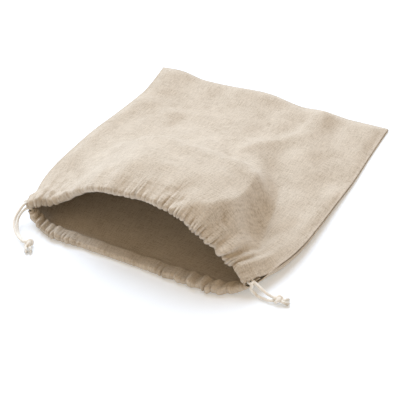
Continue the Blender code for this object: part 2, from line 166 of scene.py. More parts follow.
# One row for each main fold of the front panel: a soft ridge, or a trough where rise is negative
FOLDS = rows_of(
    Fold,
    (0.092, 0.186, 0.090, 0.140, 0.013, 0.0050),
    (0.087, 0.122, 0.060, 0.070, 0.013, 0.0030),
    (0.052, 0.060, 0.034, 0.012, 0.012, 0.0035),
    (0.117, 0.160, 0.122, 0.114, 0.012, -0.0030),
    (0.096, 0.110, 0.110, 0.020, 0.022, 0.0050),
    (0.163, 0.090, 0.163, 0.020, 0.018, -0.0040),
    (0.026, 0.118, 0.036, 0.072, 0.016, -0.0030),
    (-0.100, 0.080, -0.068, 0.082, 0.012, 0.0035),
    (-0.088, 0.054, -0.066, 0.046, 0.014, -0.0035),
    (-0.160, 0.094, -0.120, 0.088, 0.011, 0.0025),
    (-0.142, 0.126, -0.116, 0.114, 0.014, -0.0030),
    (-0.126, 0.176, -0.098, 0.164, 0.012, -0.0030),
    (-0.168, -0.084, -0.108, -0.128, 0.016, -0.0060),
    (-0.128, -0.146, -0.096, -0.162, 0.013, -0.0030),
    (-0.150, -0.020, -0.090, -0.035, 0.016, 0.0020),
    (0.026, 0.006, 0.046, -0.036, 0.008, -0.0020),
    (0.092, -0.164, 0.100, -0.154, 0.011, -0.0050),
    (0.122, -0.158, 0.126, -0.150, 0.010, -0.0040),
    (0.132, -0.156, 0.146, -0.148, 0.012, 0.0050),
)
FOLD_ENDS = 0.55  # share of a fold's rise that is left at its two ends

# One row for each pleat that the strings draw in, from the left corner of the mouth to the right one
FRONT_PLEATS = rows_of(
    Pleat,
    (0.008, 0.0010),
    (0.011, 0.0036),
    (0.010, 0.0030),
    (0.012, 0.0036),
    (0.016, 0.0026),
    (0.020, 0.0022),
    (0.026, 0.0018),
    (0.028, 0.0020),
    (0.030, 0.0016),
    (0.026, 0.0020),
    (0.024, 0.0018),
    (0.018, 0.0022),
    (0.014, 0.0030),
    (0.011, 0.0046),
    (0.011, 0.0052),
    (0.010, 0.0038),
    (0.008, 0.0006),
)
BACK_PLEATS = rows_of(
    Pleat,
    (0.010, 0.0002),
    (0.009, 0.0036),
    (0.008, 0.0046),
    (0.009, 0.0042),
    (0.012, 0.0036),
    (0.030, 0.0020),
    (0.040, 0.0020),
    (0.040, 0.0020),
    (0.036, 0.0024),
    (0.024, 0.0032),
    (0.016, 0.0048),
    (0.015, 0.0056),
    (0.014, 0.0048),
    (0.012, 0.0034),
    (0.012, 0.0002),
)
PLEAT_FADE = 0.022  # how fast the pleats die away behind the casing
FRONT_OVERHANG = 0.5  # how far a pleat leans out over the mouth, as a share of its rise
BACK_OVERHANG = 0.4

# What the linen has beyond its solids
# ------------------------------------

# Faces of a panel
HEM_SPACING = 0.0009  # between its rows where its casing starts
CASING_ROWS = 14  # from there to the turn at the rim
TURN_START = 75  # angle of that turn's first row, in degrees
TURN_STEP = 15  # from one of its rows to the next
INNER_ROWS = 12  # of the casing's inner layer

HALF_WIDTH = 0.172  # half a panel's width, which turns u into metres across the cloth
SEAM_SPAN = 0.17  # from a panel's middle to its seams, which turns u into metres inside them
SEAM_CALM = 0.008  # how far inside its seams a panel's small forms have come in
INNER_FOLLOWS = 0.4  # share of its outer layer's rise that a casing's inner one follows
WANDER = (0.023, 0.037, 0.061, 0.113)  # lengths of the slow waves that make even things stray
SEEDS = {"front gathers": 11, "front puckers": 17, "creases": 5, "back gathers": 31, "back puckers": 37}
DRIFT_SEED = 7  # added to the gathers' seed for the way they stray
SIZE_SEED = 3  # added to the puckers' seed for their size

# Fine gathers along the casings: one row for each size of them
GATHERS = rows_of(
    Wave,
    (0.0052, 0.00045, 0.0050, 1.1),
    (0.0098, 0.00060, 0.0080, 1.6),
    (0.0310, 0.00080, 0.0240, 1.2),
)
GATHER_START = 0.004  # how far behind the rim the gathers start to fade
MIDDLE_CALM_FRONT = -0.055  # where across the bag each casing is drawn in least
MIDDLE_CALM_BACK = -0.010
CALM_SHARE = 0.35  # share of the gathers' rise that is left there
CALM_REACH = 0.075  # how far to each side of it they have come in
GATHER_DRIFT = 0.15  # how far a gather strays as it runs back, in gathers
GATHER_SLANT = 3  # how much quicker that straying changes from side to side than from front to back
GATHER_SHARES = (0.70, 0.30)  # of a gather's rise: what is even, and what swells and sinks along the rim
GATHER_SWELL = 0.041  # from one swelling to the next
GATHER_LIFT = 0.35  # how far the gathers' middle height is over the cloth, as a share of their rise
GATHER_DEPTH = 0.0009  # how deep they sink into a casing at most
STITCH_GROOVE = 0.0002  # depth of the furrow that the casing's stitching pulls in
STITCH_GROOVE_WIDTH = 0.0016
CASING_SOFT_END = 0.044  # how far behind the rim the casing's bulge has quite gone from the outside
CASING_SHUT = 0.93  # u past which it goes at the stitching already, so that the casing's ends lie shut

# Puckers of the rims: one row for each place s metres across. pitch is their width, rise how high they stand
# and out how far they push the rim forward
FRONT_PUCKERS = rows_of(
    Pucker,
    (-0.172, 0.0074, 0.0036, 0.0034),
    (-0.140, 0.0078, 0.0026, 0.0032),
    (-0.105, 0.0070, 0.0008, 0.0012),
    (-0.030, 0.0085, 0.0009, 0.0015),
    (0.040, 0.0080, 0.0010, 0.0017),
    (0.085, 0.0062, 0.0016, 0.0024),
    (0.120, 0.0060, 0.0028, 0.0032),
    (0.172, 0.0070, 0.0012, 0.0014),
)
BACK_PUCKERS = rows_of(
    Pucker,
    (-0.172, 0.0072, 0.0056, 0.0030),
    (-0.118, 0.0076, 0.0046, 0.0032),
    (-0.080, 0.0100, 0.0006, 0.0008),
    (0.020, 0.0140, 0.0006, 0.0010),
    (0.062, 0.0150, 0.0036, 0.0040),
    (0.140, 0.0140, 0.0040, 0.0042),
    (0.172, 0.0100, 0.0010, 0.0010),
)
PUCKER_SINK = 0.42  # share of a pucker's rise by which its furrows sink in
PUCKER_REACH = (0.0090, 0.0050)  # how far behind the rim they still stand up, and still push it forward
PUCKER_PUSH = 0.1  # added to that, so that they push the rim forward more than they draw it back
PUCKER_FULLNESS = 0.7  # under 1, the crests are broader than the furrows
PUCKER_STRAY = 0.36  # how far a pucker strays along the rim, in puckers
PUCKER_UNEVEN = 0.45  # how much its size strays
PUCKER_STEPS = 800  # places along a rim where its puckers are counted
SWAY = 0.06  # how far a pucker sways as it runs back, in puckers
SWAY_LENGTH = 0.021  # of one sway
SWAY_SHIFT = (9, 0.017)  # radians by which the sways are ahead of each other, and over what distance

# Small creases all over the cloth, as linen keeps them
CRUMPLE = 0.0005  # height of a crease as long as CREASE_LENGTH
CREASE_LENGTH = 0.05
CREASE_LENGTHS = (0.022, 0.075)  # of the shortest and the longest
CREASE_COUNT = 26
CREASE_SUM = 3  # how many of them rise that high together where they meet
CREASE_LEAN = (0.15, 0.50)  # their usual turn from the bag's length and how far it strays, in radians
CREASE_BEND = (0.35, 2.7, 6)  # how far a crease bends, over how many of its own lengths, and from where on
CREASE_SWING = 3  # how far the bend carries it
CRUMPLE_START = 0.03  # how far behind the casing's stitching the creases have come in

# One row for each end of a casing: how far it has settled over the other one, from a share of the width on
FRONT_ENDS = rows_of(
    End,
    (-1, 0.86, 0.030, -0.0030, -0.0015, -0.0030),
    (1, 0.86, 0.045, 0.0015, -0.0040, -0.0070),
)
BACK_ENDS = rows_of(
    End,
    (-1, 0.90, 0.030, -0.0010, 0.0000, 0.0010),
    (1, 0.88, 0.040, 0.0065, 0.0010, 0.0010),
)
END_FLAT = 0.006  # how far behind the rim an end has settled all of its way

# One row for each small crease and dimple of the front panel: a ridge, or a trough where rise is negative
CREASES = rows_of(
    Fold,
    (0.093, -0.166, 0.101, -0.156, 0.0060, -0.0030),
    (0.118, -0.176, 0.124, -0.160, 0.0060, -0.0035),
    (0.109, -0.176, 0.112, -0.164, 0.0045, 0.0025),
    (0.030, -0.170, 0.040, -0.162, 0.0060, -0.0026),
    (0.050, -0.176, 0.054, -0.168, 0.0055, -0.0024),
    (0.066, -0.172, 0.078, -0.160, 0.0070, 0.0016),
    (-0.048, -0.166, -0.042, -0.154, 0.0060, -0.0016),
    (-0.126, -0.170, -0.112, -0.150, 0.0050, -0.0022),
    (-0.136, -0.172, -0.126, -0.156, 0.0045, 0.0018),
    (0.106, -0.060, 0.114, -0.132, 0.0080, -0.0018),
    (0.082, 0.176, 0.075, 0.110, 0.0050, 0.0010),
    (0.072, 0.098, 0.050, 0.060, 0.0050, 0.0010),
    (0.046, 0.050, 0.035, 0.020, 0.0050, 0.0010),
    (0.128, -0.120, 0.150, -0.060, 0.0070, -0.0012),
    (-0.090, 0.066, -0.076, 0.050, 0.0080, -0.0010),
    (0.014, 0.090, 0.026, 0.070, 0.0080, -0.0010),
    (0.120, 0.070, 0.150, 0.030, 0.0100, -0.0012),
    (-0.020, -0.120, 0.024, -0.132, 0.0100, 0.0012),
    (0.030, -0.060, 0.062, -0.100, 0.0100, 0.0012),
    (0.112, -0.020, 0.114, -0.088, 0.0220, 0.0030),
    (-0.110, 0.064, -0.100, 0.010, 0.0200, 0.0040),
    (0.050, -0.112, 0.086, -0.074, 0.0220, 0.0020),
    (0.112, -0.085, 0.112, -0.130, 0.0180, -0.0045),
    (-0.092, 0.068, -0.086, 0.038, 0.0140, 0.0030),
    (-0.140, -0.062, -0.118, -0.122, 0.0200, 0.0035),
    (0.040, 0.062, 0.036, 0.040, 0.0120, 0.0018),
    (-0.040, 0.036, -0.036, 0.012, 0.0120, 0.0018),
    (0.064, 0.004, 0.064, -0.034, 0.0140, 0.0020),
    (0.112, 0.075, 0.116, 0.020, 0.0180, 0.0025),
    (0.014, -0.110, 0.016, -0.135, 0.0160, 0.0025),
)

# The strings' own routes
# -----------------------

LANE_STEP = 0.08  # between the points of a string's line in a casing, in u
LOOP_END = 0.8585  # u where a string's loop ends, on the side that its strands leave from
STRAND_START = 0.8645  # u where those strands start
MOUTH_CORNER = 0.995  # u where a string leaves a casing

# Where each string goes outside the casings, as points (x, y, z)
TURNS = {
    "right_turn": (
        (0.1455, -0.1866, 0.0168),
        (0.1470, -0.1864, 0.0148),
        (0.1460, -0.1858, 0.0128),
    ),
    "left_turn": (
        (-0.1590, -0.1795, 0.0228),
        (-0.1612, -0.1800, 0.0206),
        (-0.1588, -0.1804, 0.0188),
    ),
}
STRANDS = {
    "left_strand_1": (
        (-0.1572, -0.1880, 0.0232),
        (-0.1590, -0.1950, 0.0192),
        (-0.1595, -0.2040, 0.0150),
        (-0.1563, -0.2130, 0.0105),
        (-0.1473, -0.2221, 0.0066),
        (-0.1349, -0.2290, 0.0055),
    ),
    "left_strand_2": (
        (-0.1546, -0.1868, 0.0172),
        (-0.1591, -0.1922, 0.0130),
        (-0.1598, -0.1997, 0.0080),
        (-0.1552, -0.2086, 0.0045),
        (-0.1466, -0.2182, 0.0024),
        (-0.1321, -0.2253, 0.0036),
    ),
    "right_strand_1": (
        (0.1470, -0.1812, 0.0160),
        (0.1515, -0.1823, 0.0142),
        (0.1576, -0.1832, 0.0110),
        (0.1643, -0.1841, 0.0080),
        (0.1711, -0.1837, 0.0058),
    ),
    "right_strand_2": (
        (0.1460, -0.1849, 0.0170),
        (0.1464, -0.1884, 0.0118),
        (0.1481, -0.1869, 0.0067),
        (0.1518, -0.1862, 0.0032),
        (0.1556, -0.1875, 0.0029),
        (0.1645, -0.1880, 0.0024),
        (0.1708, -0.1882, 0.0034),
    ),
}
TAILS = {
    "left_tail_1": ((-0.1212, -0.2333, 0.0036), (-0.1180, -0.2372, 0.0028), (-0.1157, -0.2406, 0.0024)),
    "left_tail_2": ((-0.1252, -0.2353, 0.0036), (-0.1225, -0.2394, 0.0028), (-0.1203, -0.2430, 0.0024)),
    "right_tail_1": ((0.1840, -0.1812, 0.0036), (0.1868, -0.1782, 0.0028), (0.1890, -0.1750, 0.0024)),
    "right_tail_2": ((0.1851, -0.1853, 0.0042), (0.1890, -0.1838, 0.0030), (0.1922, -0.1812, 0.0024)),
}

# Each knot's centre, and its heading in degrees
KNOTS = {
    "left_knot": ((-0.1262, -0.2290, 0.0050), 5.0),
    "right_knot": ((0.1775, -0.1843, 0.0050), 0.0),
}
KNOT_SIZE = (0.0140, 0.0115, 0.0088)  # along its heading, across it and up

# What the strings have beyond their solids
# -----------------------------------------

SOFT_STRING = 0.0040  # diameter of the soft cord, fibres included
AROUND = 18  # faces round a string
PLIES = 3
PLY_DEPTH = 0.15  # of the furrows between the plies, as a share of the radius
LOOP_SPACING = 0.0016  # between the rings of a loop
STRAND_SPACING = 0.0012  # and of a strand
ROUTE_STEPS = 12  # for the curve between two points of a route
SAME_PLACE = 1e-7  # how close two points are that are merged into one
KNOT_POINTS = 90  # along the knot's line
KNOT_TURN = 15.0  # between a knot's heading and its loops, in degrees
KNOT_LINE = 0.0048  # thickness of the doubled string that the knot is tied of
KNOT_FILL = 0.98  # size of the tied knot, as a share of its solid's
TREFOIL_REACH = (2.75, 2.5, 1.0)  # how far the knot's line goes along each axis before it is scaled
INTO_KNOT = 0.45  # how far the strings run into their knot, as a share of the way to its centre
FRAY_START = 0.30  # share of a tail after which its plies thin out
FRAY_THINNING = 0.30  # how much thinner they are at its end
FRAY_STEP = 0.0006  # between the rings of a tail
BUNDLE_END = 0.60  # share of a tail past which its plies round off, and only fibres go on
FIBRE = 0.00050  # thickness of a loose fibre
FIBRE_AROUND = 4  # faces round it
FIBRE_TAPER = 0.85  # how much thinner it is at its end
FIBRE_TURN = 1.2  # how far it winds round the string at most, in radians
FIBRE_ROOT = (0.3, 0.8)  # how far from the string's middle it starts, as a share of its radius
FIBRE_END = (0.9, 1.5)  # how far from it the fibre ends
FIBRES = 60  # in each tail

# Looks of the linen, the cotton and the studio
# ---------------------------------------------

# Colours
LINEN = (0.565, 0.497, 0.410)
DARK_THREAD = (0.398, 0.327, 0.243)
COTTON = (0.90, 0.875, 0.82)
FLOOR = (0.78, 0.84, 0.92)

LAY = 0.011  # length of one turn of a string's plies
CUT_CLOTH = (0.36, 0.44, 1.0)  # width and length over which the weave is laid on a panel
THREADS = 1250.0  # in a metre of the linen
THREAD_WOBBLE = 2.0  # how far a thread strays, in threads
THREAD_WAVES = (240, 240, 240)  # how often it does, in a metre
THREAD_HARDNESS = 3.0  # how suddenly one thread goes under the next
SLUBS = ((640, 60, 1), (55, 640, 1))  # how many thick places of the warp and of the weft a metre has
FLECKS = (560, 560, 1)  # how many flecks it has
MOTTLE = (26, 22, 1)  # and how many lighter patches
TONES = {"slubs": 0.3, "flecks": 0.4, "mottle": 0.15}  # how much each adds to a thread's tone
FIBRE_WAVES = (5.0, 5.0, 1.1)  # how often the cotton's tone changes round a ply, and in each turn of it

# How a finish takes the light
LINEN_LOOK = {"Roughness": 0.92, "Sheen Weight": 0.12, "Sheen Roughness": 0.6, "Specular IOR Level": 0.25}
COTTON_LOOK = {"Roughness": 0.88, "Sheen Weight": 0.2, "Specular IOR Level": 0.25}
FLOOR_LOOK = {"Roughness": 0.95, "Specular IOR Level": 0.1}
FLOOR_GLOW = {"Emission Color": (1, 1, 1, 1), "Emission Strength": 0.22}

FLOOR_REACH = 40.0  # from the floor's middle to its edge
FLOOR_DROP = 0.0002  # how far it lies under the bag
SKY = (1.37, 1.08, 0.76, 1)  # colour of the even light
KEY_COLOUR = (0.87, 1.036, 1.246)  # of the key light
KEY_FROM = (-0.47, 0.49, 0.73)  # where it comes from
KEY_SPREAD = 1.1  # how wide its source looks from the bag, in radians
AZIMUTH = math.radians(26.86)
ELEVATION = math.radians(38.48)
DISTANCE = 1.474  # from the camera to what it aims at
AIM = (0.0159, -0.0579, 0.0)
SENSOR = 36.0  # width of the camera's picture, in millimetres
NEAREST = 0.05  # what the camera sees starts here


# Curves and surfaces of the cloth, worked out for whole arrays of points at once
# -------------------------------------------------------------------------------


def smooth(t):
    """0 up to 0, 1 from 1 on, and a soft step between."""
    t = np.clip(t, 0.0, 1.0)
    return t * t * (3 - 2 * t)


def swell(t):
    """Half a cosine wave, from 0 at t = 0 to 1 at t = 1."""
    return 0.5 - 0.5 * np.cos(np.pi * np.clip(t, 0.0, 1.0))


def between(table, column, at):
    """The smooth curve through a table's column, read where the table's first column is at."""
    places = np.array([row[0] for row in table])
    values = np.array([getattr(row, column) for row in table])
    order = np.arange(len(places))
    before, after = np.maximum(order - 1, 0), np.minimum(order + 1, order[-1])
    slopes = (values[after] - values[before]) / (places[after] - places[before])
    at = np.clip(at, places[0], places[-1])
    i = np.clip(np.searchsorted(places, at, side="right") - 1, 0, order[-1] - 1)
    span = places[i + 1] - places[i]
    t = (at - places[i]) / span
    rise = values[i + 1] - values[i]
    bend = (t**3 - 2 * t**2 + t) * slopes[i] * span + (t**3 - t**2) * slopes[i + 1] * span
    return values[i] + rise * (3 * t**2 - 2 * t**3) + bend


def across(u, y):
    """Where a panel is at y, u from -1 to 1 across: its middle, half its width, and its seams' height."""
    left, left_height, right, right_height = (between(SEAM, column, y) for column in SeamStation._fields[1:])
    height = left_height + (right_height - left_height) * smooth((u + 1) / 2)
    return (left + right) / 2, (right - left) / 2, height


def corner(u, d):
    """1 at the mouth's corners, where the side seam stops short of the casings, and 0 away from them."""
    outward = smooth((np.abs(u) - CORNER_START) / (1 - CORNER_START))
    return outward * (1 - smooth((d - LANE_END) / (HEM - LANE_END + CORNER_REACH)))


def folds(table, x, y):
    """How high the folds of a table stand at x, y."""
    total = np.zeros(np.broadcast(x, y).shape)
    for fold in table:
        along = np.array((fold.x1 - fold.x0, fold.y1 - fold.y0))
        t = np.clip(((x - fold.x0) * along[0] + (y - fold.y0) * along[1]) / (along @ along), 0.0, 1.0)
        away = np.hypot(x - fold.x0 - t * along[0], y - fold.y0 - t * along[1])
        swelling = FOLD_ENDS + (1 - FOLD_ENDS) * np.sin(np.pi * t)
        total += fold.rise * np.exp(-((away / fold.half_width) ** 2)) * swelling
    return total


def dome(x, y):
    """How far the front panel rises over the room inside."""
    side = np.where(x < 0, between(DOME, "left", y), between(DOME, "right", y))
    flat = np.where(x < 0, between(DOME, "left_flat", y), between(DOME, "right_flat", y))
    droop = np.where(x < 0, 0.0, between(DOME, "droop", y)) * (x / side) ** 2
    return between(DOME, "crown", y) * (1 - droop) * swell((1 - np.abs(x) / side) / (1 - flat))


def lift(x, d):
    """How far the closed end stands off the floor."""
    return smooth((d - PANEL + LIFT_REACH) / LIFT_REACH) * np.maximum(0.0, between(CLOSED_END, "lift", x))


def plan(u, d, rim):
    """Where a panel's cloth lies from above: u from -1 to 1 across, d metres behind the rim."""
    share = d / PANEL
    y = rim + share * (CLOSED_END[0].y - rim)
    middle, half_width, height = across(u, y)
    y = y + smooth(2 * share - 1) * (between(CLOSED_END, "y", middle + u * half_width) - CLOSED_END[0].y)
    return middle, half_width, height, y


def front_sheet(u, d):
    """The middle of the front panel's cloth, as if it had no pleats or casing."""
    middle, half_width, height, y = plan(u, d, between(FRONT_RIM, "y", u))
    x = middle + u * half_width
    inside = np.minimum(half_width * (1 - np.abs(u)), PANEL - d)
    puff = 1 - np.exp(-((inside / PUFF_REACH) ** 2))
    z = height + LAP / 2 + FRONT_LIFT * corner(u, d) + lift(x, d)
    z += puff * (PUFF + folds(FOLDS, x, y)) + dome(x, y)
    return np.stack([x, y, z], axis=-1)


def back_sheet(u, d):
    """The middle of the back panel's outer layer: flat on the floor, its sides turned up to the seams."""
    rim = BACK_RIM_Y + BACK_RIM_TURN * smooth((np.abs(u) - BACK_RIM_START) / (1 - BACK_RIM_START))
    middle, half_width, height, y = plan(u, d, rim)
    floor = CLOTH / 2
    top = np.maximum(height - LAP / 2 - BACK_DROP * corner(u, d), floor)
    at_mouth = 1 - smooth(d / SIDE_TURN_REACH)
    full_turn = SIDE_TURN[1] + (SIDE_TURN[0] - SIDE_TURN[1]) * at_mouth
    side = np.maximum(SIDE_WIDTH, top - floor) * (1 + SIDE_SPREAD * at_mouth)
    share = np.minimum(np.abs(u) / FLOOR_SHARE, 1.0)
    turn = full_turn * np.maximum(0.0, np.abs(u) - FLOOR_SHARE) / (1 - FLOOR_SHARE)
    x = (half_width - side) * share + side * np.sin(turn) / np.sin(full_turn)
    z = floor + (top - floor) * (1 - np.cos(turn)) / (1 - np.cos(full_turn))
    x = middle + np.copysign(x, u)
    return np.stack([x, y + 0 * x, z + lift(x, d)], axis=-1)


def upward(sheet, u, d):
    """The unit normals on a sheet's upper side."""
    step = 1e-4
    crosswise = sheet(np.minimum(u + step, 1), d) - sheet(np.maximum(u - step, -1), d)
    lengthwise = sheet(u, d + step) - sheet(u, np.maximum(d - step, 0))
    normals = np.cross(crosswise, lengthwise)
    return normals / np.linalg.norm(normals, axis=-1, keepdims=True)


def tunnel(d):
    """Between the middles of a casing's two layers at d: they come together at the stitching."""
    return TUNNEL + (LAP - TUNNEL) * smooth((d - LANE_END) / (HEM - LANE_END))


def casing_middle(sheet, u, d):
    """The middle of a casing's tunnel, where a string's line runs."""
    if sheet is front_sheet:
        return sheet(u, d) - LAP / 2 * upward(sheet, u, d)
    return sheet(u, d) + tunnel(d)[..., None] / 2 * upward(sheet, u, d)


def pleat_edges(pleats):
    """Where each pleat starts and ends, as u from -1 to 1."""
    edges = np.cumsum([0.0] + [row.width for row in pleats])
    return 2 * edges / edges[-1] - 1


def pleat(pleats, u, d):
    """How far the pleats stand out of the cloth."""
    edges = pleat_edges(pleats)
    i = np.clip(np.searchsorted(edges, u, side="right") - 1, 0, len(pleats) - 1)
    t = (u - edges[i]) / (edges[i + 1] - edges[i])
    fade = np.exp(-np.maximum(0.0, d - HEM) / PLEAT_FADE)
    return np.array([row.rise for row in pleats])[i] * swell(1 - np.abs(2 * t - 1)) * fade


def wander(s, seed, reach):
    """A slow random walk along s, up to about reach, the same for each seed."""
    chance = np.random.default_rng(seed)
    total = np.zeros_like(s)
    for length in WANDER:
        total += np.sin(2 * np.pi * (s / length + chance.random()))
    return reach * total / 2


def gathers(s, d, calm, seed):
    """Fine gathers that the strings draw in: s metres across, d behind the rim, flattest at calm."""
    total = np.zeros(np.broadcast(s, d).shape)
    strength = CALM_SHARE + (1 - CALM_SHARE) * smooth(np.abs(s - calm) / CALM_REACH)
    for k, wave in enumerate(GATHERS):
        drift = GATHER_DRIFT * wander(d + GATHER_SLANT * s, seed + DRIFT_SEED + k, 1.0)
        along = s / wave.length + wander(s, seed + k, wave.wander) + drift
        uneven = GATHER_SHARES[0] + GATHER_SHARES[1] * np.sin(2 * np.pi * s / GATHER_SWELL + seed + k)
        fade = np.exp(-np.maximum(0.0, d - GATHER_START) / wave.fade)
        total += wave.rise * uneven * strength * (GATHER_LIFT + np.sin(2 * np.pi * along)) * fade
    return np.where(d < HEM, np.maximum(total, -GATHER_DEPTH), total)


def puckers(table, s, d, seed):
    """How high the puckers of a rim stand, and how far they push it forward, at s metres across."""
    steps = np.linspace(table[0].s, table[-1].s, PUCKER_STEPS)
    counted = np.concatenate([[0.0], np.cumsum(np.diff(steps) / between(table, "pitch", steps[1:]))])
    sway = SWAY * np.sin(2 * np.pi * d / SWAY_LENGTH + SWAY_SHIFT[0] * s / SWAY_SHIFT[1])
    count = np.interp(s, steps, counted) + wander(s, seed, PUCKER_STRAY) + sway
    size = 1 + wander(s, seed + SIZE_SEED, PUCKER_UNEVEN)
    bump = np.abs(np.sin(np.pi * count)) ** PUCKER_FULLNESS - PUCKER_SINK
    stand, push = (np.exp(-((d / reach) ** 2)) for reach in PUCKER_REACH)
    rise = size * bump * between(table, "rise", s) * stand
    return rise, size * (bump + PUCKER_PUSH) * between(table, "out", s) * push


def settled(ends, u, d):
    """How far the ends of a casing have moved, as vectors."""
    total = np.zeros((*np.broadcast(u, d).shape, 3))
    for end in ends:
        share = smooth((end.side * u - end.start) / (1 - end.start))
        share = share * (1 - smooth((d - END_FLAT) / end.reach))
        total += share[..., None] * np.array((end.x, end.y, end.z))
    return total


def crumple(s, d, seed):
    """How high the small creases all over the cloth stand."""
    chance = np.random.default_rng(seed)
    total = np.zeros(np.broadcast(s, d).shape)
    reach, lengths, shift = CREASE_BEND
    for _ in range(CREASE_COUNT):
        length = chance.uniform(*CREASE_LENGTHS)
        angle = chance.normal(*CREASE_LEAN)
        phase = chance.random()
        over, along = s * np.cos(angle) + d * np.sin(angle), s * np.sin(angle) - d * np.cos(angle)
        bend = reach * np.sin(2 * np.pi * along / (lengths * length) + shift * phase)
        crest = np.sin(2 * np.pi * (over / length + phase) + CREASE_SWING * bend)
        total += length / CREASE_LENGTH * crest
    return CRUMPLE * total / CREASE_SUM


def layered(casing, normals, u, d, side, rise):
    """Move a casing's middle out to its layers. rise is the outer one's."""
    inner = np.minimum(rise, 0.0) - INNER_FOLLOWS * np.maximum(rise, 0.0)
    outside = TUNNEL + (LAP - TUNNEL) * smooth((d - LANE_END) / (CASING_SOFT_END - LANE_END))
    outside += (tunnel(d) - outside) * smooth((np.abs(u) - CASING_SHUT) / (1 - CASING_SHUT))
    away = (1 + side) / 2 * (outside / 2 + rise) + (1 - side) / 2 * (inner - tunnel(d) / 2)
    return casing + normals * away[..., None]


def front_cloth(u, d, side):
    """Where the front panel's cloth is: side 1 on its outer layer, -1 on the casing's inner one."""
    s = HALF_WIDTH * u
    inside = np.minimum(SEAM_SPAN * (1 - np.abs(u)), PANEL - d)
    groove = STITCH_GROOVE * np.exp(-(((d - HEM) / STITCH_GROOVE_WIDTH) ** 2))
    stand, push = puckers(FRONT_PUCKERS, s, d, SEEDS["front puckers"])
    sheet = front_sheet(u, d)
    stand = stand + folds(CREASES, sheet[..., 0], sheet[..., 1])
    small = crumple(s, d, SEEDS["creases"]) * smooth((d - HEM) / CRUMPLE_START)
    fine = gathers(s, d, MIDDLE_CALM_FRONT, SEEDS["front gathers"]) + small - groove + stand
    rise = pleat(FRONT_PLEATS, u, d) + fine * smooth(inside / SEAM_CALM)
    lean = np.stack([0 * d, FRONT_OVERHANG * rise * (1 - smooth(d / HEM)) + push, 0 * d], axis=-1)
    casing = casing_middle(front_sheet, u, d) + settled(FRONT_ENDS, u, d)
    return layered(casing, upward(front_sheet, u, d), u, d, side, rise) - lean


def back_cloth(u, d, side):
    """Where the back panel's cloth is. Only its inner layer has pleats: the outer one lies on the floor."""
    s = HALF_WIDTH * u
    edge = smooth(SEAM_SPAN * (1 - np.abs(u)) / SEAM_CALM)
    fine = gathers(s, d, MIDDLE_CALM_BACK, SEEDS["back gathers"]) * edge
    stand, push = puckers(BACK_PUCKERS, s, d, SEEDS["back puckers"])
    rise = pleat(BACK_PLEATS, u, d) + np.maximum(fine, 0.0) + stand * edge
    away = np.where(side < 0, rise, 0.0) - side * tunnel(d) / 2
    lean = np.stack([0 * d, BACK_OVERHANG * np.where(side < 0, rise, 0.0) + push * edge, 0 * d], axis=-1)
    casing = casing_middle(back_sheet, u, d) + settled(BACK_ENDS, u, d)
    return casing + upward(back_sheet, u, d) * away[..., None] - lean


def section(rows):
    """The stations of a panel's section: from the closed end to the rim, round it, and back to the stitching.

    Each is (metres behind the rim, side). side is 1 on the outer layer, -1 on the inner, and between them on
    the rim's own turn.
    """
    half = TUNNEL / 2
    crowding = math.log(HEM_SPACING / (PANEL - HEM)) / math.log(1 / rows)
    body = [(HEM + (PANEL - HEM) * (1 - k / rows) ** crowding, 1.0) for k in range(rows + 1)]
    casing = [(HEM + (half - HEM) * k / CASING_ROWS, 1.0) for k in range(1, CASING_ROWS + 1)]
    angles = [math.radians(angle) for angle in range(TURN_START, -TURN_START - 1, -TURN_STEP)]
    turn = [(half * (1 - math.cos(angle)), math.sin(angle)) for angle in angles]
    inner = [(half + (HEM - CLOTH - half) * k / INNER_ROWS, -1.0) for k in range(INNER_ROWS + 1)]
    return np.array(body + casing + turn + inner)


# Sizes and colours that a user would change
# ------------------------------------------


class ClothSettings(bpy.types.PropertyGroup):
    """The linen panels"""

    thickness: bpy.props.FloatProperty(
        name="Thickness",
        description="Thickness of the linen",
        default=CLOTH,
        subtype="DISTANCE",
        unit="LENGTH",
    )
    columns: bpy.props.IntProperty(
        name="Columns", description="How many faces a panel has from side to side", default=340, min=40
    )
    rows: bpy.props.IntProperty(
        name="Rows", description="How many faces it has from its casing to its closed end", default=96, min=20
    )
    colour: bpy.props.FloatVectorProperty(
        name="Linen", description="Colour of the linen", default=LINEN, subtype="COLOR", size=3
    )
    dark: bpy.props.FloatVectorProperty(
        name="Dark thread",
        description="Colour of the linen's darker threads",
        default=DARK_THREAD,
        subtype="COLOR",
        size=3,
    )


class StringSettings(bpy.types.PropertyGroup):
    """The cotton drawstrings"""

    diameter: bpy.props.FloatProperty(
        name="Diameter",
        description="Diameter of a drawstring",
        default=SOFT_STRING,
        subtype="DISTANCE",
        unit="LENGTH",
    )
    lay: bpy.props.FloatProperty(
        name="Lay",
        description="Length of one turn of its plies",
        default=LAY,
        subtype="DISTANCE",
        unit="LENGTH",
    )
    colour: bpy.props.FloatVectorProperty(
        name="Cotton", description="Colour of the cotton", default=COTTON, subtype="COLOR", size=3
    )


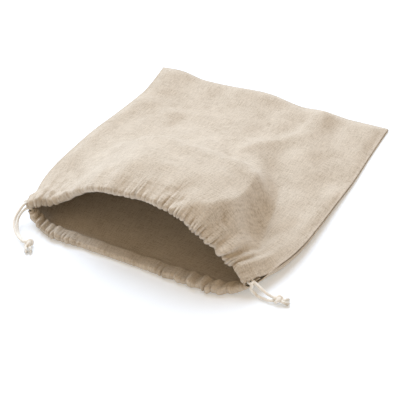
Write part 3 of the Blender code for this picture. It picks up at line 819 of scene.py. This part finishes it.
class StudioSettings(bpy.types.PropertyGroup):
    """The floor, the light and the camera"""

    azimuth: bpy.props.FloatProperty(
        name="Azimuth", description="Where the camera stands round the bag", default=AZIMUTH, subtype="ANGLE"
    )
    elevation: bpy.props.FloatProperty(
        name="Elevation", description="How high above the floor it stands", default=ELEVATION, subtype="ANGLE"
    )
    distance: bpy.props.FloatProperty(
        name="Distance",
        description="From the camera to what it aims at",
        default=DISTANCE,
        subtype="DISTANCE",
        unit="LENGTH",
    )
    aim: bpy.props.FloatVectorProperty(
        name="Aim", description="What the camera aims at", default=AIM, subtype="XYZ", size=3
    )
    lens: bpy.props.FloatProperty(
        name="Lens", description="Focal length in millimetres", default=106.26, unit="CAMERA"
    )
    floor: bpy.props.FloatVectorProperty(
        name="Floor", description="Colour of the floor", default=FLOOR, subtype="COLOR", size=3
    )
    world: bpy.props.FloatProperty(name="Sky", description="Strength of the even light", default=0.48)
    sun: bpy.props.FloatProperty(name="Key light", description="Strength of the soft key light", default=3.25)


# Materials
# ---------


def wire(tree, source, target):
    """Link one socket to another."""
    tree.links.new(source, target)


def math_node(tree, operation, first, second=None):
    """A Math node on sockets or numbers, and its result."""
    node = tree.nodes.new("ShaderNodeMath")
    node.operation = operation
    for socket, value in zip(node.inputs, (first, second)):
        if isinstance(value, bpy.types.NodeSocket):
            wire(tree, value, socket)
        elif value is not None:
            socket.default_value = value
    return node.outputs[0]


def split_place(tree, place):
    """The x and y of a place."""
    split = tree.nodes.new("ShaderNodeSeparateXYZ")
    wire(tree, place, split.inputs[0])
    return split.outputs[0], split.outputs[1]


def scaled(tree, place, scale):
    """A place whose x, y and z are scaled."""
    mapping = tree.nodes.new("ShaderNodeMapping")
    mapping.inputs["Scale"].default_value = scale
    wire(tree, place, mapping.inputs["Vector"])
    return mapping.outputs[0]


def streaks(tree, place, scale, detail):
    """Noise that is stretched by scale, from 0 to 1."""
    texture = tree.nodes.new("ShaderNodeTexNoise")
    texture.inputs["Scale"].default_value = 1.0
    texture.inputs["Detail"].default_value = detail
    wire(tree, scaled(tree, place, scale), texture.inputs["Vector"])
    return texture.outputs["Fac"]


def blend(tree, share, first, second):
    """first where share is 0, second where it is 1."""
    node = tree.nodes.new("ShaderNodeMix")
    node.data_type = "FLOAT"
    for socket, value in zip((0, 2, 3), (share, first, second)):
        wire(tree, value, node.inputs[socket])
    return node.outputs[0]


def ramp(tree, value, stops):
    """A colour ramp with (place, colour) stops."""
    node = tree.nodes.new("ShaderNodeValToRGB")
    wire(tree, value, node.inputs[0])
    elements = node.color_ramp.elements
    elements[0].position, elements[0].color = stops[0][0], (*stops[0][1], 1)
    elements[1].position, elements[1].color = stops[-1][0], (*stops[-1][1], 1)
    for position, colour in stops[1:-1]:
        elements.new(position).color = (*colour, 1)
    return node.outputs[0]


def effect(name, size, usual, *results):
    """A node group that takes a Place and a size and gives results, with its first and last nodes."""
    tree = bpy.data.node_groups.new(name, "ShaderNodeTree")
    tree.interface.new_socket("Place", in_out="INPUT", socket_type="NodeSocketVector")
    tree.interface.new_socket(size, in_out="INPUT", socket_type="NodeSocketFloat").default_value = usual
    for result in results:
        tree.interface.new_socket(result, in_out="OUTPUT", socket_type="NodeSocketFloat")
    return tree, tree.nodes.new("NodeGroupInput"), tree.nodes.new("NodeGroupOutput")


def weave_effect():
    """Plain weave with slubs. Place is metres on the cloth, Tone a thread's lightness, Height its relief."""
    tree, entry, leave = effect("plain weave", "Threads per metre", THREADS, "Tone", "Height")
    times, plus = partial(math_node, tree, "MULTIPLY"), partial(math_node, tree, "ADD")
    place = entry.outputs["Place"]
    wobble = times(streaks(tree, place, THREAD_WAVES, detail=2.0), THREAD_WOBBLE)
    waves = []
    for way in split_place(tree, place):
        threads = plus(times(way, entry.outputs["Threads per metre"]), wobble)
        waves.append(math_node(tree, "COSINE", times(threads, math.pi)))
    over = plus(times(times(*waves), THREAD_HARDNESS), 0.5)
    over.node.use_clamp = True
    warp, weft = (math_node(tree, "ABSOLUTE", wave) for wave in waves)
    slubs = plus(*(streaks(tree, place, scale, detail=3.0) for scale in SLUBS))
    flecks = streaks(tree, place, FLECKS, detail=3.0)
    tone = plus(times(slubs, TONES["slubs"]), times(flecks, TONES["flecks"]))
    wire(tree, tone, leave.inputs["Tone"])
    wire(tree, plus(times(blend(tree, over, weft, warp), 0.5), tone), leave.inputs["Height"])
    return tree


def fibres_effect():
    """Fibres along the plies of a cord. Place is turns round it and metres along it, Tone their lightness."""
    tree, entry, leave = effect("cord fibres", "Lay", LAY, "Tone")
    turns, metres = split_place(tree, entry.outputs["Place"])
    along = math_node(tree, "DIVIDE", metres, entry.outputs["Lay"])
    angle = math_node(tree, "MULTIPLY", math_node(tree, "SUBTRACT", turns, along), 2 * math.pi)
    round_it = tree.nodes.new("ShaderNodeCombineXYZ")
    places = (math_node(tree, "COSINE", angle), math_node(tree, "SINE", angle), along)
    for socket, value in zip(round_it.inputs, places):
        wire(tree, value, socket)
    wire(tree, streaks(tree, round_it.outputs[0], FIBRE_WAVES, detail=4.0), leave.inputs["Tone"])
    return tree


def finish(name, look):
    """A new material, its node tree, and its shader with this look."""
    made = bpy.data.materials.new(name)
    made.use_nodes = True
    shader = made.node_tree.nodes["Principled BSDF"]
    for socket, value in look.items():
        shader.inputs[socket].default_value = value
    return made, made.node_tree, shader


def own_map(tree, name):
    """Places from a piece's own UV map."""
    node = tree.nodes.new("ShaderNodeUVMap")
    node.uv_map = name
    return node.outputs[0]


def placed(tree, group, size, place):
    """A node group in a material, with its size and its place, and the group's results."""
    node = tree.nodes.new("ShaderNodeGroup")
    node.node_tree = group
    node.inputs[1].default_value = size
    wire(tree, place, node.inputs["Place"])
    return node.outputs


def colour_and_relief(tree, shader, colours, height, strength, depth):
    """Colour a shader's surface, and raise it by height."""
    wire(tree, colours, shader.inputs["Base Color"])
    bump = tree.nodes.new("ShaderNodeBump")
    bump.inputs["Strength"].default_value = strength
    bump.inputs["Distance"].default_value = depth
    wire(tree, height, bump.inputs["Height"])
    wire(tree, bump.outputs[0], shader.inputs["Normal"])


def tinted(colour, share):
    """A lighter or darker colour."""
    return tuple(min(1.0, share * value) for value in colour)


def linen(settings):
    """Natural linen: plain weave, its threads from dark to light, uneven and dull."""
    made, tree, shader = finish("natural linen", LINEN_LOOK)
    metres = scaled(tree, own_map(tree, "cloth"), CUT_CLOTH)
    weave = placed(tree, weave_effect(), THREADS, metres)
    mottle = math_node(tree, "MULTIPLY", streaks(tree, metres, MOTTLE, detail=3.0), TONES["mottle"])
    tone = math_node(tree, "ADD", weave["Tone"], mottle)
    stops = [(0.44, settings.dark), (0.575, settings.colour), (0.70, tinted(settings.colour, 1.16))]
    colour_and_relief(tree, shader, ramp(tree, tone, stops), weave["Height"], strength=0.55, depth=0.0005)
    return made


def cotton(settings):
    """Undyed cotton cord: soft fibres that follow its plies."""
    made, tree, shader = finish("cotton cord", COTTON_LOOK)
    tone = placed(tree, fibres_effect(), settings.lay, own_map(tree, "cord"))["Tone"]
    dark, light = tinted(settings.colour, 0.86), tinted(settings.colour, 1.10)
    stops = [(0.34, dark), (0.52, settings.colour), (0.72, light)]
    colour_and_relief(tree, shader, ramp(tree, tone, stops), tone, strength=0.5, depth=0.0004)
    return made


def paper(colour):
    """The studio's matt floor, which gives a little light of its own."""
    return finish("studio floor", FLOOR_LOOK | FLOOR_GLOW | {"Base Color": (*colour, 1)})[0]


# Making pieces
# -------------


def placed_object(name, mesh, material):
    """A mesh in the scene, with its material."""
    made = bpy.data.objects.new(name, mesh)
    mesh.materials.append(material)
    bpy.context.scene.collection.objects.link(made)
    return made


def piece(name, mesh, material, node):
    """A finished piece on the bag, in the place of its solid."""
    made = placed_object(name, mesh, material)
    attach(made, "root")
    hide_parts(node)
    return made


def finished_mesh(name, bm):
    """A smooth mesh from a bmesh."""
    bmesh.ops.recalc_face_normals(bm, faces=bm.faces)
    mesh = bpy.data.meshes.new(name)
    bm.to_mesh(mesh)
    bm.free()
    mesh.shade_smooth()
    return mesh


def panel_mesh(name, cloth, stations, columns, thickness):
    """A sheet of cloth over the stations of its section, with its own UV map in shares of the cut cloth."""
    u, station = np.meshgrid(np.linspace(-1, 1, columns + 1), np.arange(len(stations)))
    d, side = stations[station, 0], stations[station, 1]
    middle = cloth(u, d, side)
    normals = np.cross(np.gradient(middle, axis=1), np.gradient(middle, axis=0))
    normals /= np.linalg.norm(normals, axis=-1, keepdims=True)
    faces = np.stack([middle + thickness / 2 * normals, middle - thickness / 2 * normals])
    shares = np.stack([(u + 1) / 2, (np.where(side < 0, -d, d) + HEM) / (PANEL + HEM)], axis=-1)

    bm = bmesh.new()
    bmesh.ops.create_grid(bm, x_segments=columns, y_segments=len(stations) - 1, size=1)
    under = bmesh.ops.duplicate(bm, geom=bm.verts[:] + bm.edges[:] + bm.faces[:])["geom"]
    bmesh.ops.translate(bm, verts=[v for v in under if isinstance(v, bmesh.types.BMVert)], vec=(0, 0, 1))
    bmesh.ops.bridge_loops(bm, edges=[edge for edge in bm.edges if edge.is_boundary])
    grid = np.array([v.co for v in bm.verts])
    rows = np.rint((grid[:, 1] + 1) / 2 * (len(stations) - 1)).astype(int)
    columns_of = np.rint((grid[:, 0] + 1) / 2 * columns).astype(int)
    sides = np.rint(grid[:, 2]).astype(int)
    bm.verts.index_update()
    for v, place in zip(bm.verts, faces[sides, rows, columns_of]):
        v.co = place
    layer = bm.loops.layers.uv.new("cloth")
    for face in bm.faces:
        for loop in face.loops:
            loop[layer].uv = shares[rows[loop.vert.index], columns_of[loop.vert.index]]
    return finished_mesh(name, bm)


def smooth_route(points, spacing):
    """Points about this far apart along the smooth curve through a route's own points."""
    fine = []
    for k in range(len(points) - 1):
        before, a, b, after = (points[min(max(j, 0), len(points) - 1)] for j in (k - 1, k, k + 1, k + 2))
        for i in range(ROUTE_STEPS):
            t = i / ROUTE_STEPS
            bend = (2 * before - 5 * a + 4 * b - after) * t + (3 * a - before - 3 * b + after) * t * t
            fine.append(a + 0.5 * t * (b - before + bend))
    fine.append(points[-1])
    runs = [0.0]
    for a, b in zip(fine, fine[1:]):
        runs.append(runs[-1] + (b - a).length)
    count = max(round(runs[-1] / spacing), 2)
    found, k = [], 0
    for i in range(count + 1):
        at = runs[-1] * i / count
        while k < len(runs) - 2 and runs[k + 1] < at:
            k += 1
        found.append(fine[k].lerp(fine[k + 1], (at - runs[k]) / (runs[k + 1] - runs[k])))
    return found


def lane(sheet, side, start, end):
    """A string's line inside a casing, from one u to another."""
    steps = max(round(abs(end - start) / LANE_STEP), 1)
    u = start + (end - start) * np.arange(steps + 1) / steps
    d = np.full(steps + 1, LANES[side])
    ends = FRONT_ENDS if sheet is front_sheet else BACK_ENDS
    return [Vector(place) for place in casing_middle(sheet, u, d) + settled(ends, u, d)]


def loop_route(side):
    """Through the front casing, round the far corner of the mouth, and back through the back casing."""
    near, turn = (-LOOP_END, "right_turn") if side == "left" else (LOOP_END, "left_turn")
    far_corner = math.copysign(MOUTH_CORNER, -near)
    front = lane(front_sheet, side, near, far_corner)
    back = lane(back_sheet, side, far_corner, near)
    return front + [Vector(point) for point in TURNS[turn]] + back


def strand_route(name):
    """Out of a casing and on to the knot: strand 1 from the front casing, strand 2 from the back one."""
    side = name.split("_")[0]
    sheet = front_sheet if name.endswith("1") else back_sheet
    sign = -1 if side == "left" else 1
    inside = lane(sheet, side, sign * STRAND_START, sign * MOUTH_CORNER)
    return inside + [Vector(point) for point in STRANDS[name]]


def frames(path):
    """Each point of a path, two directions across it that don't wind round it, and metres from its start."""
    aside = (path[1] - path[0]).orthogonal().normalized()
    found, run = [], 0.0
    for k, place in enumerate(path):
        along = (path[min(k + 1, len(path) - 1)] - path[max(k - 1, 0)]).normalized()
        aside = (aside - along * aside.dot(along)).normalized()
        run += (place - path[max(k - 1, 0)]).length
        found.append((place, aside, along.cross(aside), run))
    return found


def tube(bm, path, reach, around):
    """A closed tube along a path. reach gives its radius at metres from its start and an angle round it.

    Its UV map has the turns round the tube and the metres along it.
    """
    layer = bm.loops.layers.uv.verify()
    rows = frames(path)
    verts = bmesh.ops.create_grid(bm, x_segments=around, y_segments=len(rows) - 1, size=1)["verts"]
    shares = {}
    for v in verts:
        turns = round((v.co.x + 1) / 2 * around) / around
        place, aside, over, run = rows[round((v.co.y + 1) / 2 * (len(rows) - 1))]
        shares[v] = (turns, run)
        angle = 2 * math.pi * turns
        v.co = place + reach(run, angle) * (aside * math.cos(angle) + over * math.sin(angle))
    for face in {face for v in verts for face in v.link_faces}:
        for loop in face.loops:
            loop[layer].uv = shares[loop.vert]
    bmesh.ops.remove_doubles(bm, verts=verts, dist=SAME_PLACE)
    bmesh.ops.holes_fill(bm, edges=[edge for edge in bm.edges if edge.is_boundary], sides=0)


def plied(diameter, lay):
    """The radius of a twisted cord: its section has a lobe for each ply and turns once in each lay."""

    def reach(run, angle):
        furrow = 0.5 - 0.5 * math.cos(PLIES * (angle - 2 * math.pi * run / lay))
        return diameter / 2 * (1 - PLY_DEPTH * furrow)

    return reach


def tapered(length):
    """The radius of a loose fibre, which thins out over its length."""

    def reach(run, angle):
        return FIBRE / 2 * (1 - FIBRE_TAPER * min(1.0, run / length) ** 2)

    return reach


def string_mesh(name, *tubes):
    """A mesh of one or more tubes, each given as (path, reach, faces round it)."""
    bm = bmesh.new()
    bm.loops.layers.uv.new("cord")
    for path, reach, around in tubes:
        tube(bm, path, reach, around)
    return finished_mesh(name, bm)


def knot_tube(centre, heading, settings):
    """An overhand knot pulled tight: a doubled string that crosses itself three times."""
    turned = Matrix.Rotation(math.radians(heading + KNOT_TURN), 3, "Z")
    size = KNOT_FILL * Vector(KNOT_SIZE) / 2 - Vector((1, 1, 1)) * KNOT_LINE / 2
    line = []
    for k in range(KNOT_POINTS + 1):
        t = 2 * math.pi * k / KNOT_POINTS
        crosswise = math.cos(t) - 2 * math.cos(2 * t) + 0.5
        trefoil = (math.sin(t) + 2 * math.sin(2 * t), crosswise, -math.sin(3 * t))
        place = Vector(a * b / c for a, b, c in zip(trefoil, size, TREFOIL_REACH))
        line.append(Vector(centre) + turned @ place)
    return line, plied(KNOT_LINE, settings.lay), AROUND


def into_knot(name, point):
    """Where a string that ends at a point beside its knot goes on into it."""
    centre = Vector(KNOTS[name.split("_")[0] + "_knot"][0])
    return point.lerp(centre, INTO_KNOT)


def tail_tubes(name, settings, seed):
    """A string's cut end: its plies thin out and fray into loose fibres."""
    chance = np.random.default_rng(seed)
    route = [Vector(point) for point in TAILS[name]]
    path = smooth_route([into_knot(name, route[0]), *route], FRAY_STEP)
    length = sum((b - a).length for a, b in zip(path, path[1:]))
    whole = plied(settings.diameter, settings.lay)

    def bundle(run, angle):
        past = min(1.0, max(0.0, (run / length - BUNDLE_END) / (1 - BUNDLE_END)))
        thinned = 1 - FRAY_THINNING * float(smooth((run / length - FRAY_START) / (1 - FRAY_START)))
        return whole(run, angle) * thinned * math.sqrt(1 - past * past)

    tubes = [(path, bundle, AROUND)]
    rows = frames(path)
    for _ in range(FIBRES):
        first = int(chance.integers(0, len(rows) // 2))
        last = len(rows) - int(chance.integers(1, len(rows) // 4))
        angle, bend = chance.uniform(0, 2 * np.pi), chance.uniform(-FIBRE_TURN, FIBRE_TURN)
        root, tip = chance.uniform(*FIBRE_ROOT), chance.uniform(*FIBRE_END)
        line = []
        for k in range(first, last):
            place, aside, over, _ = rows[k]
            share = (k - first) / (last - 1 - first)
            turned = angle + bend * share
            away = settings.diameter / 2 * (root + (tip - root) * share)
            place = place + away * (aside * math.cos(turned) + over * math.sin(turned))
            place.z = max(place.z, FIBRE)
            line.append(place)
        tubes.append((line, tapered(FRAY_STEP * (last - 1 - first)), FIBRE_AROUND))
    return tubes


# The studio
# ----------


def lay_floor(colour):
    """A wide floor that takes the bag's shadow."""
    bm = bmesh.new()
    bmesh.ops.create_grid(bm, x_segments=1, y_segments=1, size=FLOOR_REACH)
    mesh = bpy.data.meshes.new("floor")
    bm.to_mesh(mesh)
    bm.free()
    floor = placed_object("floor", mesh, paper(colour))
    floor.location.z = -FLOOR_DROP


def light_sky(scene, strength):
    """Even light from all round, and plain white where the camera looks past the floor."""
    world = bpy.data.worlds.new("studio sky")
    world.use_nodes = True
    tree = world.node_tree
    sky = tree.nodes["Background"]
    sky.inputs["Color"].default_value = SKY
    sky.inputs["Strength"].default_value = strength
    seen = tree.nodes.new("ShaderNodeBackground")
    seen.inputs["Color"].default_value = (1, 1, 1, 1)
    mixed = tree.nodes.new("ShaderNodeMixShader")
    wire(tree, tree.nodes.new("ShaderNodeLightPath").outputs["Is Camera Ray"], mixed.inputs["Fac"])
    wire(tree, sky.outputs["Background"], mixed.inputs[1])
    wire(tree, seen.outputs["Background"], mixed.inputs[2])
    wire(tree, mixed.outputs["Shader"], tree.nodes["World Output"].inputs["Surface"])
    scene.world = world


def hang_key(scene, strength):
    """The wide key light from behind the bag's left side."""
    light = bpy.data.lights.new("key", "SUN")
    light.energy = strength
    light.color = KEY_COLOUR
    light.angle = KEY_SPREAD
    key = bpy.data.objects.new("key", light)
    key.rotation_euler = Vector(KEY_FROM).to_track_quat("Z", "Y").to_euler()
    scene.collection.objects.link(key)


def place_camera(scene, settings):
    """The camera, at its angles and distance from what it aims at."""
    a, e = settings.azimuth, settings.elevation
    back = Vector((math.sin(a) * math.cos(e), -math.cos(a) * math.cos(e), math.sin(e)))
    lens = bpy.data.cameras.new("camera")
    lens.lens = settings.lens
    lens.sensor_width = SENSOR
    lens.clip_start = NEAREST
    camera = bpy.data.objects.new("camera", lens)
    camera.location = Vector(settings.aim) + settings.distance * back
    camera.rotation_euler = back.to_track_quat("Z", "Y").to_euler()
    scene.collection.objects.link(camera)
    scene.camera = camera


# Operators
# ---------


class BAG_OT_panels(bpy.types.Operator):
    """Make the two linen panels with their casings and gathers"""

    bl_idname = "bag.panels"
    bl_label = "Linen Panels"

    def execute(self, context):
        settings = context.scene.bag_cloth
        material = linen(settings)
        stations = section(settings.rows)
        for side, cloth in (("front", front_cloth), ("back", back_cloth)):
            mesh = panel_mesh(side + "_linen", cloth, stations, settings.columns, settings.thickness)
            piece(side + "_linen", mesh, material, side + "_panel")
        return {"FINISHED"}


class BAG_OT_strings(bpy.types.Operator):
    """Make the two drawstrings with their knots and frayed tails"""

    bl_idname = "bag.strings"
    bl_label = "Drawstrings"

    def execute(self, context):
        settings = context.scene.bag_string
        material = cotton(settings)
        reach = plied(settings.diameter, settings.lay)

        def cord_piece(node, *tubes):
            return piece(node + "_cord", string_mesh(node + "_cord", *tubes), material, node)

        for side in LANES:
            cord_piece(side + "_loop", (smooth_route(loop_route(side), LOOP_SPACING), reach, AROUND))
        for name, (centre, heading) in KNOTS.items():
            cord_piece(name, knot_tube(centre, heading, settings))
        for seed, name in enumerate(TAILS):
            cord_piece(name, *tail_tubes(name, settings, seed))
        for name in STRANDS:
            route = strand_route(name)
            path = smooth_route([*route, into_knot(name, route[-1])], STRAND_SPACING)
            strand = cord_piece(name, (path, reach, AROUND))
            side = name.split("_")[0]
        return {"FINISHED"}


class BAG_OT_studio(bpy.types.Operator):
    """Lay the floor, set the soft light and place the camera"""

    bl_idname = "bag.studio"
    bl_label = "Studio"

    def execute(self, context):
        settings = context.scene.bag_studio
        lay_floor(settings.floor)
        light_sky(context.scene, settings.world)
        hang_key(context.scene, settings.sun)
        place_camera(context.scene, settings)
        context.scene.view_settings.view_transform = "Standard"
        return {"FINISHED"}


class BAG_PT_sidebar(bpy.types.Panel):
    """The bag's operators and settings in the sidebar"""

    bl_label = "Bread Bag"
    bl_idname = "BAG_PT_sidebar"
    bl_space_type = "VIEW_3D"
    bl_region_type = "UI"
    bl_category = "Bread Bag"

    def draw(self, context):
        for settings in (context.scene.bag_cloth, context.scene.bag_string, context.scene.bag_studio):
            box = self.layout.box()
            for name in settings.__annotations__:
                box.prop(settings, name)
        for operator in OPERATORS:
            self.layout.operator(operator.bl_idname)


GROUPS = {"bag_cloth": ClothSettings, "bag_string": StringSettings, "bag_studio": StudioSettings}
OPERATORS = (BAG_OT_panels, BAG_OT_strings, BAG_OT_studio)
CLASSES = (*GROUPS.values(), *OPERATORS, BAG_PT_sidebar)


def register():
    for cls in CLASSES:
        bpy.utils.register_class(cls)
    for name, cls in GROUPS.items():
        setattr(bpy.types.Scene, name, bpy.props.PointerProperty(type=cls))


def unregister():
    for name in GROUPS:
        delattr(bpy.types.Scene, name)
    for cls in reversed(CLASSES):
        bpy.utils.unregister_class(cls)


def main():
    register()
    bpy.ops.bag.panels()
    bpy.ops.bag.strings()
    bpy.ops.bag.studio()


if __name__ == "__main__":
    main()
